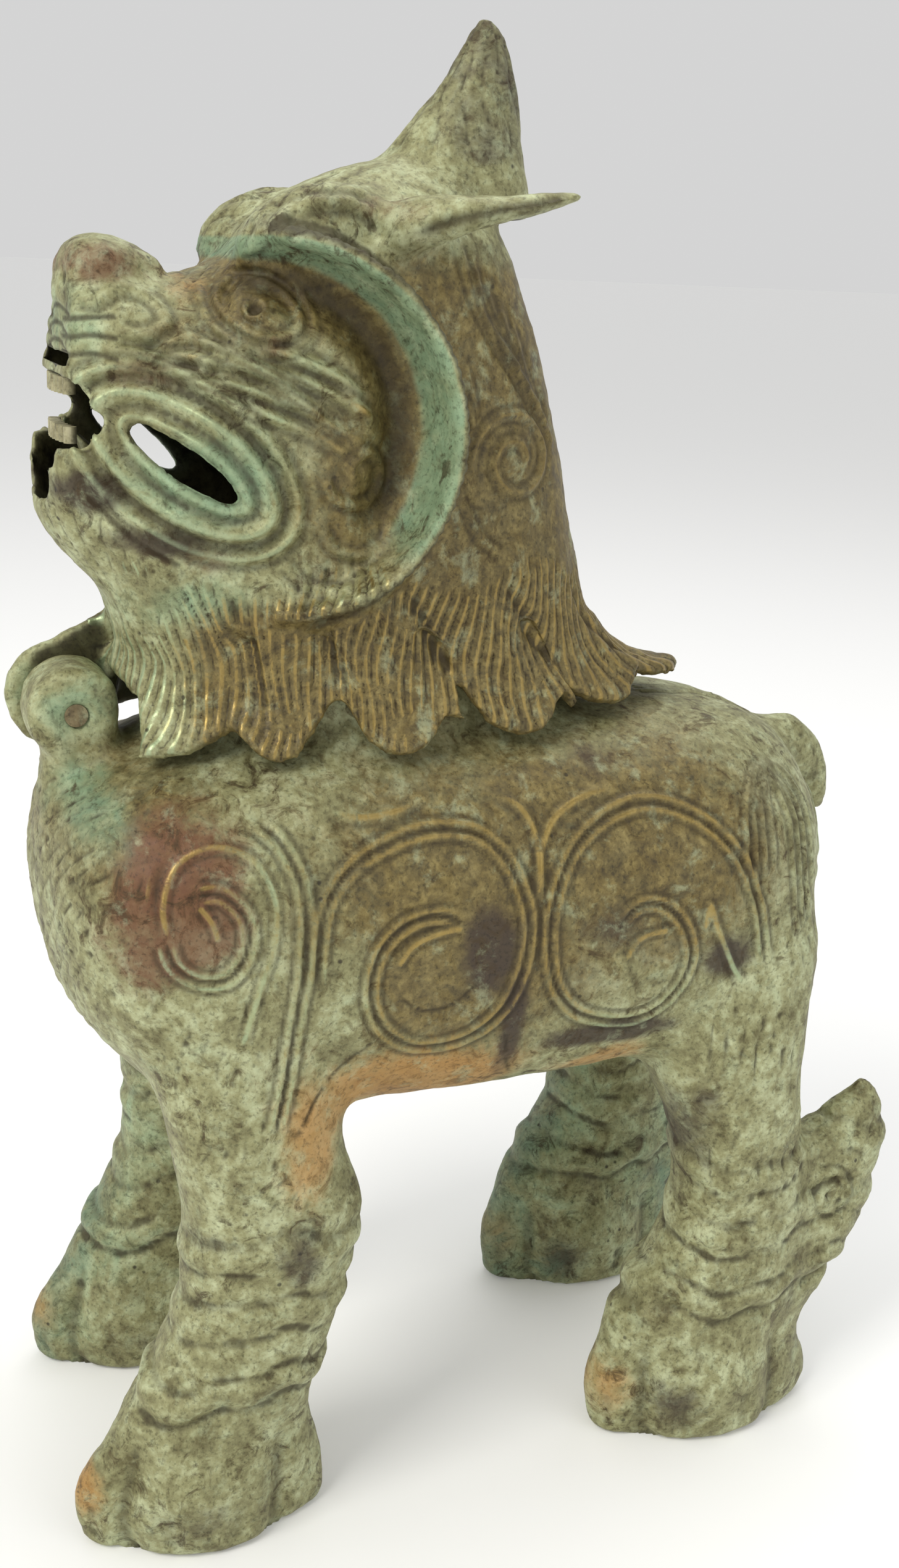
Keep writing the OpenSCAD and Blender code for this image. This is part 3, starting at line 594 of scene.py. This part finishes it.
def thin_inside(mesh, inside, keep):
    """Fewer faces on the hidden inner wall."""
    work = bpy.data.objects.new("thin", mesh)
    bpy.context.scene.collection.objects.link(work)
    group = work.vertex_groups.new(name="inside")
    hidden = np.flatnonzero(inside > 0.9)
    group.add([int(i) for i in hidden], 1.0, "REPLACE")
    thin = work.modifiers.new("thin", "DECIMATE")
    thin.vertex_group = "inside"
    thin.ratio = 1 - (1 - keep) * len(hidden) / len(mesh.vertices)
    out = bpy.data.meshes.new_from_object(work.evaluated_get(bpy.context.evaluated_depsgraph_get()))
    bpy.data.objects.remove(work)
    return out


def sculpt(mesh, carve, tones, inner, rounds, hold, model=None, keep=0.12):
    """Smooths a casting, carves it and marks its tones."""
    p, pairs = places(mesh), links(mesh)
    p = soften(p, pairs, rounds, hold(p))
    if model:
        p = model(p)
    put(mesh, p)
    mesh = thin_inside(mesh, inner(p, normals(mesh)), keep)
    p, n = places(mesh), normals(mesh)
    first, _ = carve(p, n)
    near = spread(np.maximum(first.gilt_and_highlight, first.cut), links(mesh), 2) > 0.42
    refine(mesh, near)
    p, n, pairs = places(mesh), normals(mesh), links(mesh)
    carved, inside = carve(p, n)
    q = p + n * carved.height[:, None]
    q[:, 2] = np.maximum(q[:, 2], 0)
    q[p[:, 2] < 0.4, 2] = 0
    put(mesh, q)
    # Dents, where the skin lies below its neighbours, are painted dark: painted shade
    dent = np.clip((spread(carved.height, pairs, 6) - carved.height) / 0.5, 0, 1)
    ochre, rust, plum, teal, orange = tones(p)
    for name, values in (("tone", (ochre, rust, plum, teal)),
                         ("carve", (carved.gilt_and_highlight, np.maximum(0.8 * carved.cut, dent), orange, inside))):
        layer = mesh.attributes.new(name, "FLOAT_COLOR", "POINT")
        layer.data.foreach_set("color", np.clip(np.stack(values, 1), 0, 1).astype(np.float32).ravel())
    return mesh


def mm(y, z, x=0.0):
    return Vector((x, y - PAW_SHIFT[1], z)) * MM


def take(bm, planes):
    """Cuts off what lies behind every one of the planes, and closes both parts. The first plane is the cut;
    the others only say how far it reaches."""
    at, out = planes[0]
    middle = np.array([f.calc_center_median() for f in bm.faces])
    behind = [(middle - np.array(a)) @ np.array(o) for a, o in planes]
    reach = np.all([d < 3 * MM for d in behind[1:]], 0) if len(planes) > 1 else np.ones(len(middle), bool)
    bm.faces.ensure_lookup_table()
    crossed = [bm.faces[i] for i in np.flatnonzero(reach & (np.abs(behind[0]) < 4 * MM))]
    geom = list({v for f in crossed for v in f.verts}) + list({e for f in crossed for e in f.edges}) + crossed
    bmesh.ops.bisect_plane(bm, geom=geom, plane_co=at, plane_no=out, dist=1e-7)
    middle = np.array([f.calc_center_median() for f in bm.faces])
    gone = np.all([(middle - np.array(a)) @ np.array(o) < 0 for a, o in planes], 0)
    part = bm.copy()
    for half, drop in ((part, ~gone), (bm, gone)):
        half.faces.ensure_lookup_table()
        bmesh.ops.delete(half, geom=[half.faces[i] for i in np.flatnonzero(drop)], context="FACES")
        loop = [e for e in half.edges if e.is_boundary]
        bmesh.ops.triangle_fill(half, edges=loop, use_beauty=True, normal=out)
        for e in loop:
            e.smooth = False
        bmesh.ops.recalc_face_normals(half, faces=half.faces)
    return part


def divide(mesh, cuts):
    """Cuts a casting into closed pieces by name. A cut may be taken from a piece that an earlier one made."""
    whole = bmesh.new()
    whole.from_mesh(mesh)
    held = {"rest": whole}
    for name, source, planes in cuts:
        held[name] = take(held[source], planes)
    out = {}
    for name, bm in held.items():
        for f in bm.faces:
            f.smooth = True
        out[name] = bpy.data.meshes.new(name)
        bm.to_mesh(out[name])
        bm.free()
    return out


# ---------- patina ----------

class Socket:
    """A shader value that Python's own arithmetic works on."""

    def __init__(self, tree, out):
        self.tree, self.out = tree, out

    def node(self, kind, settings=None, **inputs):
        """Adds a node, sets it up, feeds its sockets and returns the output asked for, or several."""
        made = self.tree.nodes.new(kind)
        settings = dict(settings or {})
        wanted = settings.pop("out", 0)
        stops = settings.pop("stops", ())
        for key, value in settings.items():
            setattr(made, key, value)
        for place, _ in stops[2:]:
            made.color_ramp.elements.new(place)
        for (place, tint), stop in zip(stops, made.color_ramp.elements if stops else ()):
            stop.position, stop.color = place, tint
        for key, value in inputs.items():
            socket = made.inputs[int(key[1:])] if key[0] == "_" and key[1:].isdigit() else made.inputs[key]
            if isinstance(value, Socket):
                self.tree.links.new(value.out, socket)
            else:
                socket.default_value = value
        if isinstance(wanted, tuple):
            return [Socket(self.tree, made.outputs[k]) for k in wanted]
        return Socket(self.tree, made.outputs[wanted]) if made.outputs else None

    def maths(self, operation, other):
        return self.node("ShaderNodeMath", {"operation": operation}, _0=self, _1=other)

    def __add__(self, other): return self.maths("ADD", other)
    def __radd__(self, other): return self.maths("ADD", other)
    def __sub__(self, other): return self.maths("SUBTRACT", other)

    def __rsub__(self, other):
        return self.node("ShaderNodeMath", {"operation": "SUBTRACT"}, _0=other, _1=self)

    def __mul__(self, other): return self.maths("MULTIPLY", other)
    def __rmul__(self, other): return self.maths("MULTIPLY", other)

    def between(self, low, high):
        """Nought below low, one above high, and smooth between them."""
        return self.node("ShaderNodeMapRange", {"interpolation_type": "SMOOTHSTEP"}, _0=self, _1=low, _2=high)

    def blend(self, tint, amount, how="MIX"):
        """This colour, laid over with another."""
        return self.node("ShaderNodeMix", {"data_type": "RGBA", "blend_type": how, "out": 2},
                         _0=amount, _6=self, _7=tint)

    def darken(self, tint, amount):
        return self.blend(tint, amount, "MULTIPLY")

    def ramp(self, *stops):
        """A colour for each value, from stops that are places and colours."""
        return self.node("ShaderNodeValToRGB", {"stops": stops}, Fac=self)


def colour(r, g, b):
    """A linear colour from one that is given as seen, 0 to 255."""
    return tuple(((v / 255 + 0.055) / 1.055) ** 2.4 if v > 10 else v / 3295 for v in (r, g, b)) + (1.0,)


VERDIGRIS = (94, 88, 54), (144, 143, 102), (186, 191, 152)


def patina(name, carved=True, shades=VERDIGRIS, polish=0.0):
    """Old bronze: verdigris over brown metal. On a carved casting it also has the tones of each place,
    dark cuts, partly dirt and partly painted shade, and gold and pale colour on the ridges, partly worn
    metal and partly painted highlight."""
    mat = bpy.data.materials.new(name)
    mat.use_nodes = True
    tree = mat.node_tree
    tree.nodes.clear()
    base = Socket(tree, None)
    where = base.node("ShaderNodeTexCoord", {"out": "Object"})

    def noise(size, detail=4.0, rough=0.55, warp=0.0, shift=0.0):
        """Noise whose features are about this many millimetres wide."""
        place = where
        if shift:
            place = base.node("ShaderNodeMapping", Vector=where, Location=(shift, shift, shift))
        return base.node("ShaderNodeTexNoise", Vector=place, Scale=1 / (size * MM), Detail=detail,
                         Roughness=rough, Distortion=warp)

    broad, patch, grain = noise(46, 3), noise(13, 5, 0.6, 0.6), noise(3.2, 6, 0.65)
    fleck = noise(1.1, 3, 0.6, 0.0, 0.3)
    crust = noise(7.5, 8, 0.72, 1.2, 0.7)
    pits = base.node("ShaderNodeTexVoronoi", Vector=where, Scale=1 / (5 * MM))
    pit = (1 - pits.between(0.06, 0.17)) * noise(21, 2, 0.5, 0.0, 0.9).between(0.56, 0.66)
    ragged = (patch - 0.5) * 0.8 + (crust - 0.5) * 0.6 + (broad - 0.5) * 0.5

    def layer(weight, low=0.16, high=0.74):
        """How much of a tone shows, with a ragged edge."""
        return (weight + ragged).between(low, high)

    dark, middle, pale = (colour(*shade) for shade in shades)
    col = (0.55 * patch + 0.45 * grain).ramp((0.35, dark), (0.49, middle), (0.63, pale))
    if carved:
        def painted(kind):
            values = base.node("ShaderNodeAttribute", {"attribute_name": kind, "out": ("Color", "Alpha")})
            return *values[0].node("ShaderNodeSeparateColor", {"out": (0, 1, 2)}, _0=values[0]), values[1]

        ochre, rust, plum, teal = painted("tone")
        gilt_and_highlight, cut, orange, inner = painted("carve")
        brown = (0.5 * grain + 0.5 * crust).ramp((0.36, colour(62, 50, 24)), (0.5, colour(104, 88, 46)),
                                                 (0.64, colour(148, 130, 76)))
        col = col.blend(brown, layer(ochre) * 0.92)
        col = col.blend(colour(178, 128, 62), layer(orange, 0.24, 0.8) * (0.45 + 0.5 * grain))
        col = col.blend(colour(104, 62, 42), layer(rust, 0.3, 0.72) * (0.5 + 0.5 * crust))
        col = col.blend(colour(60, 48, 38), layer(plum, 0.34, 0.86) * 0.9)
        col = col.blend(colour(116, 152, 122), layer(teal, 0.24, 0.8) * (0.3 + 0.6 * patch))
    # Brown bloom and pale salts that come through everywhere
    col = col.blend(colour(70, 56, 36), crust.between(0.52, 0.66) * (0.35 + 0.5 * broad.between(0.4, 0.6)))
    salts = (noise(9, 6, 0.7, 0.3, 1.7) + 0.12 * grain).between(0.58, 0.76)
    col = col.blend(colour(172, 182, 146), salts * 0.45)
    col = col.darken(colour(150, 150, 140), fleck.between(0.5, 0.7) * 0.6)
    if carved:
        # Dark brown in the cuts and dents: partly dirt and partly painted shade
        grime_and_shade = cut.between(0.12, 0.85)
        col = col.blend(colour(44, 34, 16), grime_and_shade * (0.55 + 0.4 * patch))
        # Pale mint and gold on the ridges: partly worn, shinier metal and partly painted highlight
        wear_and_highlight = gilt_and_highlight.between(0.35, 0.9) * (0.25 + 0.9 * crust.between(0.36, 0.52)) * (1 - 0.7 * pit)
        gold = layer(ochre, 0.1, 0.6)
        col = col.blend(colour(168, 186, 148), wear_and_highlight * (1 - gold) * 0.7)
        col = col.blend(colour(170, 146, 86), wear_and_highlight * gold * 0.6)
        col = col.darken(colour(92, 84, 60), inner * 0.9)
    col = col.blend(colour(40, 34, 22), pit * 0.85)

    rough = 0.5 + 0.3 * (grain - 0.5) + 0.16 * patch - 0.12 * polish
    metal = 0.16 + 0.3 * crust.between(0.5, 0.62)
    if carved:
        metal = metal + 0.45 * wear_and_highlight
        rough = rough - 0.16 * wear_and_highlight - 0.05 * ochre + 0.12 * grime_and_shade
    height = 0.45 * grain + 0.25 * crust + 0.2 * fleck - 0.9 * pit
    bump = base.node("ShaderNodeBump", Strength=0.55, Distance=0.00055, Height=height)
    skin = base.node("ShaderNodeBsdfPrincipled", **{"Base Color": col, "Roughness": rough, "Metallic": metal,
                                                    "Normal": bump, "IOR": 1.45})
    skin.node("ShaderNodeOutputMaterial", Surface=skin)
    return mat


def finish_piece(name, mesh, body, slot, material, *nodes):
    obj = bpy.data.objects.new(name + "_cast", mesh)
    bpy.context.scene.collection.objects.link(obj)
    mesh.materials.clear()
    mesh.materials.append(material)
    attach(obj, body)
    if nodes:
        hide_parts(*nodes)
    return obj


bronze = patina("verdigris_bronze")

# ---------- the body casting ----------

BODY = ["torso_shell", "neck_rim", "chest_knuckle", "front_left_leg", "front_right_leg", "rear_left_leg",
        "rear_right_leg", "hock_flame_left", "hock_flame_right", "tail"]
HEAD = ["skull_shell", "lower_jaw", "mane_collar", "hinge_ear", "horn", "ear_left", "ear_right",
        "cheek_flange_left", "cheek_flange_right", "brow_left", "brow_right", "eye_left", "eye_right", "nose",
        "tongue"]


def hold_body(p):
    """The thin and sharp parts of the body, which the smoothing leaves alone."""
    x, y, z = p.T
    rim = smooth(z, 222, 226) * smooth(y, -79, -77)
    knuckle = smooth(y, -78, -84) * smooth(z, 206, 210) * smooth(18 - np.abs(x), 0, 3)
    thin = np.maximum(smooth(y, 121, 126) * 0.75, np.maximum(rim, knuckle) * 0.9)
    return np.maximum(thin, smooth(z, 6, 2) * 0.85)


def hold_head(p):
    """The thin and sharp parts of the head."""
    x, y, z = p.T
    ear = smooth(np.abs(x), 34, 37) * smooth(y, -14, -10) * smooth(z, 334, 338)
    reach, _ = from_flange(p)
    fin = smooth(np.abs(x), 35, 38) * smooth(reach, 39, 41) * smooth(reach, 52, 50)
    skirt = smooth(z, 250, 244) * 0.8
    lips = smooth(y, -84, -88) * smooth(z, 318, 314) * smooth(z, 284, 288) * 0.85
    face = smooth(y, -44, -52) * smooth(z, 316, 322) * 0.6
    tip = smooth(z, 386, 394) * 0.7
    slot = 0.8 * bell(np.hypot((y - SLOT[0]) / 14.5, (z - SLOT[1]) / 9), 1, 0.5) * (np.abs(x) > 18)
    return np.minimum(np.maximum.reduce([ear * 0.85, fin * 0.85, skirt, lips, face, tip, slot]), 0.9)


body = sculpt(cast("body", BODY, 1.9), carve_body, tone_body, inner_body, 40, hold_body)
down, forward, back = Vector((0, 0, -1)), Vector((0, -1, 0)), Vector((0, 1, 0))
left, right = Vector((1, 0, 0)), Vector((-1, 0, 0))
up = Vector((0, 0, 1))


def leg_planes(side, front):
    """A leg, with its tuft, below the belly."""
    return [(mm(0, 110), up), (mm(0, 0), Vector((-side, 0, 0))), (mm(-10, 0), back if front else forward)]


body_cuts = [
    ("front_left_leg", "rest", leg_planes(1, True)), ("front_right_leg", "rest", leg_planes(-1, True)),
    ("rear_left_leg", "rest", leg_planes(1, False)), ("rear_right_leg", "rest", leg_planes(-1, False)),
    ("tail", "rest", [(mm(118, 215), Vector((0, -37, -9)).normalized()), (mm(0, 170), down)]),
    ("neck_rim", "rest", [(mm(0, 225.5), down), (mm(-79, 0), forward)]),
    ("chest_knuckle", "rest", [(mm(-103, 213), Vector((0, 8, -23)).normalized()), (mm(-79.5, 0), back),
                               (mm(0, 0, 15), left), (mm(0, 0, -15), right)]),
]
parts = divide(body, body_cuts)
stands_for = {"rear_left_leg": ["rear_left_leg", "hock_flame_left"],
              "rear_right_leg": ["rear_right_leg", "hock_flame_right"], "rest": ["torso_shell"]}
for name, mesh in parts.items():
    label = "torso" if name == "rest" else name
    finish_piece(label, mesh, "body", "leg_bronze" if "leg" in label else "body_bronze", bronze,
                 *stands_for.get(name, [name]))

# ---------- the head casting ----------

head = sculpt(cast("head", HEAD, 1.25), carve_head, tone_head, inner_head, 24, hold_head, model_head)


def ear_planes(side):
    return [(mm(0, 0, side * 36.5), Vector((-side, 0, 0))), (mm(-24, 0), forward), (mm(0, 339), down)]


head_cuts = [
    ("mane_collar", "rest", [(mm(0, 251.5), up)]),
    ("hinge_ear", "mane_collar", [(mm(-87.5, 0), back), (mm(0, 0, -8), left)]),
    ("horn", "rest", [(mm(-14, 371), Vector((0, -9, -42)).normalized())]),
    ("ear_left", "rest", ear_planes(1)), ("ear_right", "rest", ear_planes(-1)),
    ("lower_jaw", "rest", [(mm(-59, 286), Vector((0, 56, -11)).normalized()),
                           (mm(-82, 298), Vector((0, 14, 22)).normalized())]),
]
stands_for = {"rest": ["skull_shell", "cheek_flange_left", "cheek_flange_right", "brow_left", "brow_right",
                       "eye_left", "eye_right", "nose", "tongue"]}
for name, mesh in divide(head, head_cuts).items():
    label = "skull" if name == "rest" else name
    slot_name = {"mane_collar": "collar_bronze", "hinge_ear": "dark_bronze"}.get(label, "head_bronze")
    finish_piece(label, mesh, "head", slot_name, bronze, *stands_for.get(name, [name]))

# ---------- teeth and pin ----------

old_tooth = patina("old_tooth_bronze", carved=False,
                   shades=((112, 106, 78), (158, 152, 118), (196, 190, 156)))
pin_metal = patina("worn_pin_bronze", carved=False,
                   shades=((70, 60, 42), (104, 90, 62), (140, 126, 92)), polish=1.0)
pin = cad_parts["hinge_pin"]
pin.data.materials.clear()
pin.data.materials.append(pin_metal)
for row in ("upper_teeth", "lower_teeth"):
    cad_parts[row].data.materials.clear()
    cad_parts[row].data.materials.append(old_tooth)

# ---------- floor, light and camera ----------

def plain(name, tint, rough, glow):
    mat = bpy.data.materials.new(name)
    mat.use_nodes = True
    shader = mat.node_tree.nodes["Principled BSDF"]
    shader.inputs["Base Color"].default_value = tint
    shader.inputs["Roughness"].default_value = rough
    shader.inputs["Emission Color"].default_value = (1, 1, 1, 1)
    shader.inputs["Emission Strength"].default_value = glow
    return mat


bm = bmesh.new()
bmesh.ops.create_grid(bm, x_segments=1, y_segments=1, size=60.0)
floor_mesh = bpy.data.meshes.new("floor")
bm.to_mesh(floor_mesh)
bm.free()
floor = bpy.data.objects.new("floor", floor_mesh)
bpy.context.scene.collection.objects.link(floor)
floor.location.z = -0.0002
floor_mesh.materials.append(plain("pale_floor", (0.86, 0.86, 0.85, 1), 0.9, 0.1))


def softbox(name, at, aim, size, power, tint=(1, 1, 1)):
    lamp = bpy.data.lights.new(name, "AREA")
    lamp.shape = "RECTANGLE"
    lamp.size, lamp.size_y = size
    lamp.energy = power
    lamp.color = tint
    obj = bpy.data.objects.new(name, lamp)
    obj.location = at
    obj.rotation_euler = (Vector(aim) - Vector(at)).to_track_quat("-Z", "Y").to_euler()
    bpy.context.scene.collection.objects.link(obj)


softbox("key", (0.7, -1.3, 1.5), (0, 0, 0.2), (0.8, 0.8), 22, (1.0, 0.98, 0.92))
softbox("fill", (1.6, 0.9, 0.9), (0, 0, 0.2), (1.4, 1.2), 5, (0.96, 0.98, 1.0))
softbox("top", (-0.4, 0.4, 1.7), (0, 0, 0.2), (1.2, 1.2), 9)
world = bpy.data.worlds.new("studio")
world.use_nodes = True
world.node_tree.nodes["Background"].inputs["Color"].default_value = (1.0, 1.0, 1.0, 1)
world.node_tree.nodes["Background"].inputs["Strength"].default_value = 0.66
bpy.context.scene.world = world

# The eye stands on the beast's left, a little ahead of it and above its back
AZIMUTH, ELEVATION, ROLL = (math.radians(v) for v in (68.29, 17.01, 2.51))
back_to_eye = Vector((math.sin(AZIMUTH) * math.cos(ELEVATION), -math.cos(AZIMUTH) * math.cos(ELEVATION),
                      math.sin(ELEVATION)))
eye = mm(14.36, 196.19) + back_to_eye * 0.48829
across = (-back_to_eye).cross(Vector((0, 0, 1))).normalized()
rise = across.cross(-back_to_eye)
turned_across = across * math.cos(ROLL) + rise * math.sin(ROLL)
turned_rise = rise * math.cos(ROLL) - across * math.sin(ROLL)
camera = bpy.data.cameras.new("camera")
camera.lens = 2743.1 * 36 / 2540
camera.sensor_width = 36
camera.clip_start = 0.02
view = bpy.data.objects.new("camera", camera)
bpy.context.scene.collection.objects.link(view)
pose = Matrix((turned_across, turned_rise, back_to_eye)).transposed().to_4x4()
pose.translation = eye
view.matrix_world = pose
bpy.context.scene.camera = view
bpy.context.scene.view_settings.view_transform = "Standard"
